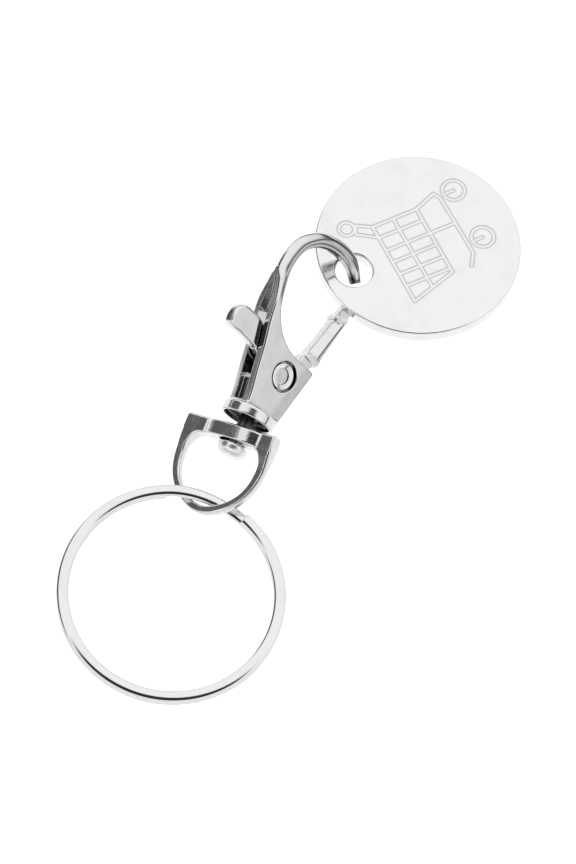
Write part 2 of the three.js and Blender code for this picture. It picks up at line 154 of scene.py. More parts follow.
def curve(points, closed=False, step=0.06):
    """Points a given step apart on the centripetal curve through the given ones."""
    p = np.array(points, float)
    if closed:
        p = np.vstack([p[-1], p, p[0], p[1]])
    else:
        p = np.vstack([2 * p[0] - p[1], p, 2 * p[-1] - p[-2]])
    out = []
    for i in range(1, len(p) - 2):
        p0, p1, p2, p3 = p[i - 1], p[i], p[i + 1], p[i + 2]
        t0 = 0.0
        t1 = t0 + max(np.linalg.norm(p1[:2] - p0[:2]), 1e-6) ** 0.5
        t2 = t1 + max(np.linalg.norm(p2[:2] - p1[:2]), 1e-6) ** 0.5
        t3 = t2 + max(np.linalg.norm(p3[:2] - p2[:2]), 1e-6) ** 0.5
        n = max(2, int(np.linalg.norm(p2[:2] - p1[:2]) / step))
        t = (t1 + (t2 - t1) * np.arange(n) / n)[:, None]
        a1 = (t1 - t) / (t1 - t0) * p0 + (t - t0) / (t1 - t0) * p1
        a2 = (t2 - t) / (t2 - t1) * p1 + (t - t1) / (t2 - t1) * p2
        a3 = (t3 - t) / (t3 - t2) * p2 + (t - t2) / (t3 - t2) * p3
        b1 = (t2 - t) / (t2 - t0) * a1 + (t - t0) / (t2 - t0) * a2
        b2 = (t3 - t) / (t3 - t1) * a2 + (t - t1) / (t3 - t1) * a3
        out.append((t2 - t) / (t2 - t1) * b1 + (t - t1) / (t2 - t1) * b2)
    if not closed:
        out.append(p[-2][None])
    return np.vstack(out)


def offset(line, side):
    """The curve [x, y, half width] shifted to one side by its half width."""
    t = np.gradient(line[:, :2], axis=0)
    t /= np.linalg.norm(t, axis=1)[:, None]
    return line[:, :2] + side * line[:, 2:3] * np.stack([-t[:, 1], t[:, 0]], 1)


class Outline:
    """Signed distance to a closed outline in a plane, negative inside."""

    S = 8

    def __init__(self, points):
        p = np.array(points, float)[:, :2]
        keep = np.linalg.norm(p - np.roll(p, 1, 0), axis=1) > 1e-5
        p = p[keep]
        q = np.roll(p, -1, 0)
        if np.sum(p[:, 0] * q[:, 1] - p[:, 1] * q[:, 0]) < 0:
            p = p[::-1].copy()
            q = np.roll(p, -1, 0)
        # long edges are split, so that the groups of edges stay small
        parts = []
        for a, b in zip(p, q):
            n = max(1, int(math.ceil(np.linalg.norm(b - a) / 0.12)))
            parts.append(a + (b - a) * (np.arange(n) / n)[:, None])
        p = np.vstack(parts)
        m = len(p)
        pad = (-m) % self.S
        self.m = m
        q = np.roll(p, -1, 0)
        e = q - p
        en = e / np.linalg.norm(e, axis=1)[:, None]
        n = np.stack([en[:, 1], -en[:, 0]], 1)
        vn = n + np.roll(n, 1, 0)
        vn /= np.linalg.norm(vn, axis=1)[:, None] + 1e-12
        ix = np.concatenate([np.arange(m), np.arange(pad) % m])
        self.a, self.e, self.n = p[ix], e[ix], n[ix]
        self.l2 = np.sum(self.e ** 2, 1)
        self.v0, self.v1 = vn[ix], vn[(ix + 1) % m]
        ga = self.a.reshape(-1, self.S, 2)
        gb = (self.a + self.e).reshape(-1, self.S, 2)
        both = np.concatenate([ga, gb], 1)
        self.c = (both.min(1) + both.max(1)) / 2
        self.r = np.linalg.norm(both - self.c[:, None], axis=2).max(1)

    def _near(self, x, y):
        n = len(x)
        val, gx, gy = np.empty(n), np.empty(n), np.empty(n)
        groups = len(self.c)
        k = min(4, groups)
        for s in range(0, n, 16384):
            px, py = x[s:s + 16384], y[s:s + 16384]
            d = np.hypot(px[:, None] - self.c[None, :, 0], py[:, None] - self.c[None, :, 1]) - self.r
            g = np.argpartition(d, k - 1, axis=1)[:, :k] if groups > k else np.tile(np.arange(groups), (len(px), 1))
            ix = (g[:, :, None] * self.S + np.arange(self.S)).reshape(len(px), -1)
            ax, ay = self.a[ix, 0], self.a[ix, 1]
            ex, ey = self.e[ix, 0], self.e[ix, 1]
            t = np.clip(((px[:, None] - ax) * ex + (py[:, None] - ay) * ey) / self.l2[ix], 0, 1)
            dx, dy = px[:, None] - ax - t * ex, py[:, None] - ay - t * ey
            d2 = dx * dx + dy * dy
            j = np.argmin(d2, 1)
            r = np.arange(len(px))
            i, t, dx, dy = ix[r, j], t[r, j], dx[r, j], dy[r, j]
            d = np.sqrt(d2[r, j])
            nx = np.where(t <= 0, self.v0[i, 0], np.where(t >= 1, self.v1[i, 0], self.n[i, 0]))
            ny = np.where(t <= 0, self.v0[i, 1], np.where(t >= 1, self.v1[i, 1], self.n[i, 1]))
            sgn = np.where(dx * nx + dy * ny < 0, -1.0, 1.0)
            far = d > 0.02
            val[s:s + 16384] = sgn * d
            # close to the outline the direction is blended between its corners
            bx = self.v0[i, 0] * (1 - t) + self.v1[i, 0] * t
            by = self.v0[i, 1] * (1 - t) + self.v1[i, 1] * t
            smooth = (self.v0[i] * self.v1[i]).sum(1) > 0.97
            bl = np.hypot(bx, by) + 1e-12
            nx, ny = np.where(smooth, bx / bl, nx), np.where(smooth, by / bl, ny)
            dd = np.where(far, d, 1)
            gx[s:s + 16384] = np.where(far & ~smooth, sgn * dx / dd, nx)
            gy[s:s + 16384] = np.where(far & ~smooth, sgn * dy / dd, ny)
        return val, gx, gy

    def __call__(self, x, y):
        xv, yv = np.broadcast_arrays(x.v, y.v)
        val, gx, gy = self._near(xv.ravel(), yv.ravel())
        val, gx, gy = val.reshape(xv.shape), gx.reshape(xv.shape), gy.reshape(xv.shape)
        if x.g is None:
            return F(val)
        return F(val, [gx * a + gy * b for a, b in zip(x.g, y.g)])


def at_points(f, p, slopes=True):
    one, nul = np.ones(len(p)), np.zeros(len(p))
    r = f(F(p[:, 0], [one, nul, nul]), F(p[:, 1], [nul, one, nul]), F(p[:, 2], [nul, nul, one]))
    return r.v, np.stack([np.broadcast_to(g, r.v.shape) for g in r.g], 1)


def surface(f, lo, hi, cell):
    """Closed mesh of a field's zero level: one point in each cell that the surface crosses."""
    lo, hi = np.array(lo, float) - 2.5 * cell, np.array(hi, float) + 2.5 * cell
    n = np.ceil((hi - lo) / cell).astype(int) + 1
    ax = [lo[i] + cell * np.arange(n[i]) for i in range(3)]
    v = f(F(ax[0][:, None, None]), F(ax[1][None, :, None]), F(ax[2][None, None, :])).v
    v = np.broadcast_to(v, tuple(n)).astype(np.float32)
    ins = v < 0
    count = np.zeros(tuple(n - 1), np.uint8)
    corners = [(i, j, k) for i in (0, 1) for j in (0, 1) for k in (0, 1)]
    for i, j, k in corners:
        count += ins[i:n[0] - 1 + i, j:n[1] - 1 + j, k:n[2] - 1 + k]
    cells = np.argwhere((count > 0) & (count < 8))
    ids = np.full(tuple(n - 1), -1, np.int64)
    ids[tuple(cells.T)] = np.arange(len(cells))
    cv = np.stack([v[cells[:, 0] + i, cells[:, 1] + j, cells[:, 2] + k] for i, j, k in corners], 1)
    total, hits = np.zeros((len(cells), 3)), np.zeros(len(cells))
    for a in range(8):
        for b in range(a + 1, 8):
            ca, cb = np.array(corners[a], float), np.array(corners[b], float)
            if np.abs(ca - cb).sum() != 1:
                continue
            cross = (cv[:, a] < 0) != (cv[:, b] < 0)
            t = np.where(cross, cv[:, a] / np.where(cross, cv[:, a] - cv[:, b], 1), 0)
            total += cross[:, None] * (ca + t[:, None] * (cb - ca))
            hits += cross
    pts = lo + cell * (cells + total / hits[:, None])
    quads = []
    for axis in range(3):
        o = [1, 1, 1]
        o[axis] = 0
        a = ins[o[0]:n[0] - 1, o[1]:n[1] - 1, o[2]:n[2] - 1]
        sh = [0, 0, 0]
        sh[axis] = 1
        b = ins[o[0] + sh[0]:n[0] - 1 + sh[0], o[1] + sh[1]:n[1] - 1 + sh[1], o[2] + sh[2]:n[2] - 1 + sh[2]]
        e = np.argwhere(a != b) + np.array(o)
        flip = a[tuple((e - np.array(o)).T)]
        u, w = [(1, 2), (2, 0), (0, 1)][axis]
        du, dw = np.zeros(3, int), np.zeros(3, int)
        du[u], dw[w] = 1, 1
        c0, c1, c2, c3 = e - du - dw, e - dw, e, e - du
        q = np.stack([ids[tuple(c.T)] for c in (c0, c1, c2, c3)], 1)
        q[~flip] = q[~flip][:, ::-1]
        quads.append(q)
    return pts, np.vstack(quads)


def settle(f, p, rounds=2, most=0.03):
    for _ in range(rounds):
        v, g = at_points(f, p)
        s = (g ** 2).sum(1) + 1e-9
        move = -(v / s)[:, None] * g
        long = np.linalg.norm(move, axis=1)
        move *= np.minimum(1, most / (long + 1e-12))[:, None]
        p = p + move
    return p


def mesh_of(name, verts, faces):
    """Mesh from an array of points in metres and an array of triangles or quads."""
    m = bpy.data.meshes.new(name)
    faces = np.asarray(faces, np.int32)
    m.vertices.add(len(verts))
    m.vertices.foreach_set("co", np.asarray(verts, np.float32).ravel())
    m.loops.add(faces.size)
    m.loops.foreach_set("vertex_index", faces.ravel())
    m.polygons.add(len(faces))
    m.polygons.foreach_set("loop_start", np.arange(len(faces), dtype=np.int32) * faces.shape[1])
    m.update(calc_edges=True)
    m.validate()
    o = bpy.data.objects.new(name, m)
    bpy.context.scene.collection.objects.link(o)
    return o


def smooth_shade(o):
    o.data.polygons.foreach_set("use_smooth", np.ones(len(o.data.polygons), bool))


def thinned(o, keep):
    mod = o.modifiers.new("thin", "DECIMATE")
    mod.ratio = keep
    dg = bpy.context.evaluated_depsgraph_get()
    new = bpy.data.meshes.new_from_object(o.evaluated_get(dg))
    o.modifiers.clear()
    old = o.data
    o.data = new
    bpy.data.meshes.remove(old)


def carved(name, f, lo, hi, cell, place, keep=0.5, mark=None):
    """A piece from its field: meshed, thinned where it is flat, and given exact normals."""
    p, q = surface(f, lo, hi, cell)
    p = settle(f, p)
    o = mesh_of(name, p, q)
    if keep < 1:
        thinned(o, keep)
    n = len(o.data.vertices)
    co = np.empty(n * 3, np.float32)
    o.data.vertices.foreach_get("co", co)
    p = settle(f, co.reshape(-1, 3).astype(float), 1, 0.01)
    _, g = at_points(f, p)
    g /= np.linalg.norm(g, axis=1)[:, None] + 1e-12
    o.data.vertices.foreach_set("co", place.point(p).astype(np.float32).ravel())
    smooth_shade(o)
    # mask of painted shade and painted dark reflections, kept on the points
    if mark:
        o.data.attributes.new("painted_shade", "FLOAT", "POINT").data.foreach_set("value", mark(p).astype(np.float32))
    o.data.update()
    o.data.normals_split_custom_set_from_vertices(place.way(g).astype(np.float32))
    return o


def swept(name, centre, side, up, section, place, wrap=False):
    """A wire: section [(across, up)] carried along a line of points with its two directions."""
    n, m = len(centre), len(section)
    sec = np.asarray(section, float)
    p = centre[:, None] + side[:, None] * sec[None, :, 0:1] + up[:, None] * sec[None, :, 1:2]
    i, k = np.meshgrid(np.arange(n - 1), np.arange(m), indexing="ij")
    a, b = i * m + k, i * m + (k + 1) % m
    quads = np.stack([a, b, b + m, a + m], -1).reshape(-1, 4)
    o = mesh_of(name, place.point(p.reshape(-1, 3)), quads)
    import bmesh
    bm = bmesh.new()
    bm.from_mesh(o.data)
    bm.verts.ensure_lookup_table()
    for start in (0, (n - 1) * m):
        bm.faces.new([bm.verts[start + j] for j in range(m)])
    bmesh.ops.recalc_face_normals(bm, faces=bm.faces)
    bm.to_mesh(o.data)
    bm.free()
    smooth_shade(o)
    return o


# ------------------------------------------------------------------ materials
class Nodes:
    def __init__(self, tree):
        self.t = tree

    def new(self, kind, **props):
        n = self.t.nodes.new(kind)
        for k, v in props.items():
            setattr(n, k, v)
        return n

    def link(self, a, b):
        self.t.links.new(a, b)

    def math(self, op, a, b=None, c=None, clamp=False):
        n = self.new("ShaderNodeMath", operation=op, use_clamp=clamp)
        for i, x in enumerate((a, b, c)):
            if x is None:
                continue
            if isinstance(x, (int, float)):
                n.inputs[i].default_value = x
            else:
                self.link(x, n.inputs[i])
        return n.outputs[0]

    def ramp(self, x, lo, hi, a=0.0, b=1.0, smooth=True):
        n = self.new("ShaderNodeMapRange", interpolation_type="SMOOTHSTEP" if smooth else "LINEAR")
        self.link(x, n.inputs["Value"])
        for k, v in (("From Min", lo), ("From Max", hi), ("To Min", a), ("To Max", b)):
            n.inputs[k].default_value = v
        return n.outputs["Result"]


def metal(name, tint, rough, peel=0.0, peel_scale=3.0, scratch=0.3, wear=0.1, grain=None, recess=0.55, painted_shade=0.0):
    """Plated metal: faint waviness of the casting, fine polishing scratches, and rougher patches from handling.
    Lengths are in millimetres."""
    mat = bpy.data.materials.new(name)
    mat.use_nodes = True
    t = mat.node_tree
    t.nodes.clear()
    n = Nodes(t)
    out = n.new("ShaderNodeOutputMaterial")
    b = n.new("ShaderNodeBsdfPrincipled")
    n.link(b.outputs[0], out.inputs[0])
    b.inputs["Metallic"].default_value = 1.0
    co = n.new("ShaderNodeTexCoord")
    mm = n.new("ShaderNodeMapping")
    mm.inputs["Scale"].default_value = (1000, 1000, 1000)
    n.link(co.outputs["Object"], mm.inputs[0])

    def noise(scale, detail=3.0, rough=0.5, stretch=None, turn=(0, 0, 0)):
        v = mm.outputs[0]
        if stretch:
            m = n.new("ShaderNodeMapping")
            m.inputs["Rotation"].default_value = turn
            m.inputs["Scale"].default_value = stretch
            n.link(v, m.inputs[0])
            v = m.outputs[0]
        x = n.new("ShaderNodeTexNoise")
        x.inputs["Scale"].default_value = scale
        x.inputs["Detail"].default_value = detail
        x.inputs["Roughness"].default_value = rough
        n.link(v, x.inputs["Vector"])
        return x.outputs["Fac"]

    wave = noise(peel_scale, 2.0)
    cloud = noise(0.35, 4.0, 0.6)
    fine = noise(26.0, 2.0)
    lines = None
    for k, (turn, st) in enumerate((((0.3, 0.5, 0.4), (0.25, 9, 9)), ((1.1, -0.4, 2.2), (9, 0.3, 9)), ((-0.7, 0.9, 1.3), (8, 8, 0.25)))):
        x = n.ramp(noise(2.2 + 0.7 * k, 3.0, 0.65, st, turn), 0.62, 0.76)
        lines = x if lines is None else n.math("MAXIMUM", lines, x)
    # roughness: even plating, duller in patches and along scratches
    r = n.ramp(cloud, 0.35, 0.75, rough * 0.85, rough * (1.0 + 2.0 * wear) + 0.02 * wear)
    r = n.math("ADD", r, n.math("MULTIPLY", lines, 0.10 * scratch))
    r = n.math("ADD", r, n.math("MULTIPLY", fine, 0.03), clamp=True)
    n.link(r, b.inputs["Roughness"])
    # colour: nickel with slightly warmer, darker patches
    mix = n.new("ShaderNodeMix", data_type="RGBA")
    mix.inputs["A"].default_value = (*tint, 1)
    mix.inputs["B"].default_value = (tint[0] * 0.95, tint[1] * 0.94, tint[2] * 0.925, 1)
    n.link(n.ramp(cloud, 0.45, 0.8), mix.inputs["Factor"])
    # painted shade: the colour darkens towards 0.3 of the tint where ambient occlusion finds recesses and gaps
    ao = n.new("ShaderNodeAmbientOcclusion")
    ao.samples = 4
    ao.inputs["Distance"].default_value = 1.3 * MM
    recess_shade = n.new("ShaderNodeMix", data_type="RGBA")
    recess_shade.inputs["A"].default_value = (tint[0] * 0.30, tint[1] * 0.30, tint[2] * 0.30, 1)
    n.link(mix.outputs["Result"], recess_shade.inputs["B"])
    n.link(n.ramp(ao.outputs["AO"], 0.10, recess), recess_shade.inputs["Factor"])
    colour = recess_shade.outputs["Result"]
    # painted shade and painted dark reflections: the colour darkens by the given share where the piece's mask attribute
    # marks it
    if painted_shade:
        at = n.new("ShaderNodeAttribute", attribute_type="GEOMETRY", attribute_name="painted_shade")
        with_painted_shade = n.new("ShaderNodeMix", data_type="RGBA")
        n.link(colour, with_painted_shade.inputs["A"])
        with_painted_shade.inputs["B"].default_value = (tint[0] * (1 - painted_shade), tint[1] * (1 - painted_shade), tint[2] * (1 - painted_shade), 1)
        n.link(at.outputs["Fac"], with_painted_shade.inputs["Factor"])
        colour = with_painted_shade.outputs["Result"]
    n.link(colour, b.inputs["Base Color"])
    # height in millimetres
    h = n.math("MULTIPLY", wave, peel)
    h = n.math("SUBTRACT", h, n.math("MULTIPLY", lines, 0.0008 * scratch))
    h = n.math("ADD", h, n.math("MULTIPLY", fine, 0.00012 * scratch))
    if grain:
        scale, depth = grain
        pits = n.math("MULTIPLY", noise(scale, 3.0, 0.6), n.ramp(noise(0.8, 2.0), 0.42, 0.62, 0.35, 1.0))
        h = n.math("ADD", h, n.math("MULTIPLY", pits, depth))
    bump = n.new("ShaderNodeBump")
    bump.inputs["Strength"].default_value = 1.0
    bump.inputs["Distance"].default_value = MM
    n.link(h, bump.inputs["Height"])
    n.link(bump.outputs[0], b.inputs["Normal"])
    return mat


CAST = metal("nickel_casting", (0.685, 0.685, 0.675), 0.085, peel=0.0030, peel_scale=1.3, scratch=0.6, wear=0.2, recess=0.8, painted_shade=0.86)
GATE = metal("nickel_gate", (0.69, 0.69, 0.68), 0.09, peel=0.0030, peel_scale=1.4, scratch=0.7, wear=0.2, recess=0.6, painted_shade=0.62)
EYE_CAST = metal("nickel_eye", (0.66, 0.66, 0.65), 0.10, peel=0.005, peel_scale=2.2, scratch=0.6, wear=0.3, grain=(5.0, 0.016))
RIVET = metal("nickel_rivet", (0.68, 0.68, 0.67), 0.12, peel=0.003, peel_scale=2.5, scratch=0.8, wear=0.3)
WIRE = metal("nickel_ring_wire", (0.72, 0.72, 0.71), 0.08, peel=0.001, peel_scale=1.0, scratch=0.5, wear=0.2, recess=0.35)
STUD = metal("nickel_stud", (0.80, 0.80, 0.79), 0.30, peel=0.006, peel_scale=2.0, scratch=0.8, wear=0.2, recess=0.35, painted_shade=0.85)
SPRING = metal("spring_steel", (0.52, 0.52, 0.53), 0.22, peel=0.001, peel_scale=4.0, scratch=0.6, wear=0.3)
COIN = metal("nickel_token", (0.75, 0.75, 0.75), 0.12, peel=0.0008, peel_scale=0.5, scratch=0.6, wear=0.08, recess=0.3, painted_shade=0.42)


def piece(o, body, node, mat):
    o.data.materials.clear()
    o.data.materials.append(mat)
    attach(o, body)
    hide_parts(node)
    return o


# ------------------------------------------------------------------ clasp body
CHEEK_T, BOW_T, CHANNEL = 1.7, 0.98, 0.8
PIVOT = (0.46, 6.18)
AXIS_X = -0.28
SPINE = [[-2.66, 0.8], [-2.85, 2.45], [-3.55, 5.26], [-4.13, 7.82], [-4.84, 10.28], [-5.2, 11.92], [-5.4, 13.4], [-5.66, 15.0]]
INNER = [[-4.36, 15.4], [-4.38, 13.9], [-4.12, 12.5], [-3.43, 11.36], [-2.26, 10.13], [-0.77, 9.24], [0.92, 8.78], [2.51, 8.72], [3.95, 8.48]]
BOW = [[-5.1, 15.4, 0.78], [-5.2, 16.8, 0.80], [-5.05, 18.35, 0.81], [-4.4, 20.05, 0.82], [-3.05, 21.33, 0.85], [-1.7, 21.98, 0.88],
       [-0.3, 22.28, 0.88], [1.25, 22.28, 0.86], [2.45, 22.04, 0.85], [3.4, 21.62, 0.83], [4.15, 21.1, 0.78], [5.0, 20.25, 0.71]]
BOW_ON = [[5.36, 19.78], [5.72, 19.31]]


def body_outline():
    bow = curve(BOW + [[*p, 0.71] for p in BOW_ON], step=0.06)
    left, right = offset(bow, 1), offset(bow, -1)
    outer = curve(np.vstack([SPINE, left[left[:, 1] > 16.2][0:1]]), step=0.06)
    start = np.argmax(left[:, 1] > 16.2)
    inner_start = np.argmax(right[:, 1] > 16.2)
    inner = curve(np.vstack([right[inner_start:inner_start + 1], INNER]), step=0.06)
    return np.vstack([outer[:-1], left[start:], right[inner_start:][::-1], inner[1:], [[4.1, 8.2], [2.47, 0.8]]])


SILHOUETTE = Outline(body_outline())
# which side of the bow's middle line a point is on, and how far
MIDDLE = Outline(np.vstack([curve([[-4.5, 12.0], [-4.95, 13.8]] + [p[:2] for p in BOW] + BOW_ON + [[6.4, 18.2]], step=0.06), [[6.4, -20.0], [-3.0, -20.0]]]))
CHANNEL_CUT = Outline([[-9, 4.9], [-2.6, 4.9], [-1.4, 3.7], [8, 3.7], [8, 12.0], [-3.3, 12.0], [-3.7, 11.7], [-9, 11.7]])
_sp = curve(SPINE + [[-5.88, 16.2], [-5.97, 16.9]], step=0.1)


def groove(y0, y1, depth):
    s = _sp[(_sp[:, 1] > y0) & (_sp[:, 1] < y1)]
    d = np.array([depth(y) for y in s[:, 1]])
    return Outline(np.vstack([s - [2, 0], (s + np.stack([d, d * 0], 1))[::-1]]))


UPPER_GROOVE = groove(11.0, 16.6, lambda y: 1.0 * (1 - step01(y, 12.0, 16.9)) + 0.06)
LOWER_GROOVE = groove(1.55, 5.6, lambda y: 0.62 + 0.5 * step01(y, 4.0, 5.4))


def clasp_body(x, y, z):
    a = fabs(z)
    sil = SILHOUETTE(x, y)
    # half thickness: full over the cheeks, less at the bow, least at the hook's tip
    t = CHEEK_T - rise(y, 12.2, 16.9) * (CHEEK_T - BOW_T)
    t = t - rise(x + (y - 21.0) * -0.6, 1.2, 5.6) * 0.12 * rise(y, 15, 17)
    # the strip along the gate's side falls away a little
    edge = (x - 4.1) * 0.975 - (y - 8.2) * 0.2208
    t = t - smax(edge + 1.62, 0.0, 0.30) * 0.014 * (1 - rise(y, 8.6, 10.2))
    # the bow's face falls away towards the tip, and there also towards its outer side
    u = MIDDLE(x, y)
    t = t - (x + 5.5) * 0.010 * rise(y, 14.0, 17.0)
    t = t - smax(u - 0.10, 0.0, 0.10) * 0.45 * rise(x + (y - 21.0) * -0.6, 2.2, 4.9) * rise(y, 15.0, 17.0)
    dz = a - t
    on_bow = step01(y.v, 12.8, 17.0)
    near_spine = 1 - step01(x.v - np.interp(y.v, _sp[:, 1], _sp[:, 0]), 0.5, 1.0)
    to_tip = step01(x.v - 0.6 * (y.v - 21.0), 2.2, 4.9) * step01(y.v, 15.0, 17.0)
    c = (1 - on_bow) * (0.10 + 0.10 * near_spine) + on_bow * (0.32 + 0.12 * to_tip)
    k = (1 - on_bow) * 0.10 + on_bow * 0.24
    s = smax(sil + a * 0.03, dz, k)
    s = smax(s, (sil + dz + c) * math.sqrt(0.5), k)
    # wide bevel along the outer side of the bow, from a crease near its middle line
    s = smax(s, (u - rise(x, -4.2, -0.5) * 0.28 - 0.06 + dz) * math.sqrt(0.5) - (1 - rise(y, 13.8, 16.4)) * 1.0, 0.20)
    # the hook's tip is cut square, with its edges bevelled off
    end = (x - 5.0) * 0.606 - (y - 20.25) * 0.796
    end = smax(end, (end + a * 0.75 - 0.12) * 0.8, 0.06)
    s = smax(s, smin(smin(end, y - 17.5), x - 2.5), 0.08)
    # flange, hollow underneath
    r = length(x - AXIS_X, z) - 3.1
    flange = bevelled(r, y - 1.25, 0.12, 0.16)
    flange = bevelled(flange, -y, 0.07, 0.06)
    s = smin(s, flange, 0.40)
    s = smax(s, -smax(length(x - AXIS_X, z) - 2.72, y - 0.62, 0.25), 0.06)
    # channel for the lever and the grooves that carry it on along the spine
    cut = smax(CHANNEL_CUT(x, y), a - CHANNEL, 0.08)
    up = smax(UPPER_GROOVE(x, y), a - (CHANNEL - 0.15 - rise(y, 12.0, 16.9) * 0.45), 0.10)
    low = smax(LOWER_GROOVE(x, y), a - CHANNEL, 0.12)
    s = smax(s, -smin(cut, smin(up, low, 0.05), 0.05), 0.09)
    # pivot bore and recesses
    d = length(x - PIVOT[0], y - PIVOT[1])
    s = smax(s, -smax(d - 1.78, (CHEEK_T - 0.66) - a, 0.05), 0.07)
    s = smax(s, -(d - 1.25), 0.05)
    # blind hole for the swivel rivet
    s = smax(s, -smax(length(x - AXIS_X, z) - 1.1, y - 2.6, 0.05), 0.08)
    return s


def painted_shade_clasp(p):
    """Painted shade, 0 to 1: under the flange, on the hook's end and low on its flanks."""
    x, y, z = p.T
    under = (1 - step01(y, 0.60, 0.85)) * (1 - step01(np.hypot(x - AXIS_X, z), 2.70, 2.80))
    u = MIDDLE(F(x), F(y)).v
    sil = SILHOUETTE(F(x), F(y)).v
    a = np.abs(z)
    end = (x - 5.0) * 0.606 - (y - 20.25) * 0.796
    end = np.maximum(end, (end + a * 0.75 - 0.12) * 0.8)
    at_tip = step01(x - 0.6 * (y - 21.0), 3.0, 4.4) * step01(y, 15.0, 17.0)
    end = step01(end, -0.12, -0.05) * step01(y, 17.5, 18.0) * step01(x, 2.5, 3.2)
    flank = np.maximum(step01(u, 0.22, 0.38), step01(-u, 0.34, 0.50)) * at_tip * 0.95
    # painted dark reflection along the crease on the outer side of the bow, and painted shade over its inner half
    on_bow = step01(y, 15.2, 16.6)
    wide = 0.14 + 0.06 * step01(x, -3.6, -1.2)
    crease = np.exp(-((u - 0.28 * step01(x, -4.2, -0.5) - 0.06) / wide) ** 2) * step01(a, 0.40, 0.55) * on_bow
    inner = (1 - step01(u, -0.25, 0.05)) * step01(a, 0.3, 0.5) * on_bow * (1 - step01(x, 2.4, 4.0)) * 0.30
    flank = np.maximum(flank, np.maximum(crease, inner))
    return np.maximum(under, np.maximum(end, flank))


piece(carved("clasp_casting", clasp_body, (-6.3, 0, -3.15), (5.85, 23.5, 3.15), 0.066, CLASP, 0.55, painted_shade_clasp), "clasp", "clasp_body", CAST)

# ------------------------------------------------------------------ gate
ARM_ROD = Outline([[2.45, 9.75], [2.85, 10.3], [3.5, 12.7], [4.15, 15.15], [4.06, 15.45], [4.25, 16.0], [5.85, 15.9], [5.72, 15.5], [5.6, 15.2],
                   [5.15, 12.6], [4.72, 10.2], [4.75, 9.7], [4.45, 9.3]])
ARM_THIN = Outline([[0.9, 7.4], [1.6, 8.2], [2.15, 9.0], [2.3, 9.7], [2.75, 10.15], [3.5, 12.4], [4.12, 15.3], [4.02, 15.45], [4.15, 15.95], [4.45, 16.1],
                    [5.95, 16.2], [5.95, 15.6], [5.75, 15.35], [5.45, 15.2], [4.6, 10.4], [4.75, 9.9], [4.3, 9.3], [3.4, 8.0], [2.3, 6.4]])
ARM_TIP = Outline([[4.3, 15.8], [4.4, 16.4], [4.85, 17.4], [5.3, 18.5], [5.3, 19.6], [6.1, 19.6], [6.1, 17.6], [5.95, 16.2], [5.8, 15.8]])
_tab = curve([[-4.95, 10.3], [-6.2, 10.5], [-7.45, 10.6], [-8.05, 10.5], [-8.6, 10.05], [-8.9, 9.3], [-8.95, 8.57], [-8.8, 8.0], [-8.2, 7.7], [-6.5, 7.55], [-4.2, 7.2]], step=0.06)
TAB = Outline(np.vstack([_tab, [[-1.2, 5.9], [0.7, 5.1], [0.9, 7.6], [-0.6, 8.2], [-2.6, 9.4]]]))
SPRING_WAY = Outline([[-2.7, 3.0], [1.0, 3.0], [1.0, 5.0], [-1.3, 6.5], [-2.7, 6.1]])


def gate_lever(x, y, z):
    a = fabs(z)
    d = length(x - PIVOT[0], y - PIVOT[1])
    hub = bevelled(d - 2.0, a - 0.68, 0.08, 0.08)
    tab = bevelled(TAB(x, y), a - 0.64, 0.16, 0.14)
    thin = bevelled(ARM_THIN(x, y), a - 0.68, 0.08, 0.08)
    # the upper side of the arm: a sloping inner half, a fine cast line, a flat outer half
    across = (x - 4.62) * 0.974 - (y - 12.6) * 0.228
    between = 1 - rise(fabs(y - 12.7), 2.1, 2.5)
    roof = a - 0.98 + smax(across * -0.30, 0.0, 0.06) * between + smax(across - 0.1, 0.0, 0.1) * 0.28 * between
    rod = bevelled(ARM_ROD(x, y), roof, 0.10, 0.14)
    rod = smax(rod, -smax(smax(fabs(across - 0.04) - 0.075, 0.80 - a, 0.03), fabs(y - 12.7) - 2.25), 0.05)
    tip = bevelled(ARM_TIP(x, y), a - 0.5, 0.06, 0.08)
    arm = smin(smin(thin, rod, 0.10), tip, 0.14)
    arm = smax(arm, d - 13.45, 0.08)
    s = smin(smin(hub, tab, 0.10), arm, 0.10)
    s = smax(s, -(d - 1.25), 0.05)
    s = smax(s, -smax(d - 1.86, -z, 0.04), 0.05)
    s = smax(s, -smax(SPRING_WAY(x, y), -z, 0.04), 0.05)
    return s


def painted_shade_gate(p):
    """Painted shade, 0 to 1: darker along the cast line on the arm and, by half, over the arm's outer half."""
    x, y, z = p.T
    across = (x - 4.62) * 0.974 - (y - 12.6) * 0.228
    along_arm = step01(y, 9.9, 10.3) * (1 - step01(y, 15.2, 15.6))
    line = np.exp(-((across - 0.04) / 0.09) ** 2)
    return np.maximum(line, step01(across, 0.02, 0.12) * 0.5) * along_arm


piece(carved("gate_casting", gate_lever, (-9.0, 3.6, -1.0), (6.2, 20.0, 1.0), 0.062, CLASP, 0.55, painted_shade_gate), "gate", "gate_lever", GATE)


# ------------------------------------------------------------------ rivets
def pivot_pin(x, y, z):
    a = fabs(z)
    d = length(x - PIVOT[0], y - PIVOT[1])
    shank = smax(d - 1.15, a - 1.16, 0.04)
    # rolled-over rim in two steps round a sunk, slightly dished middle
    rim = smin(length(d - 1.06, a - 1.43) - 0.20, length(d - 1.27, a - 1.36) - 0.22, 0.02)
    s = smin(shank, rim, 0.03)
    s = smax(s, -(length(d, a - 4.9) - 3.72), 0.05)
    return s


piece(carved("pivot_rivet", pivot_pin, (-1.15, 4.6, -1.7), (2.05, 7.8, 1.7), 0.045, CLASP, 0.7), "clasp", "gate_pivot_pin", RIVET)


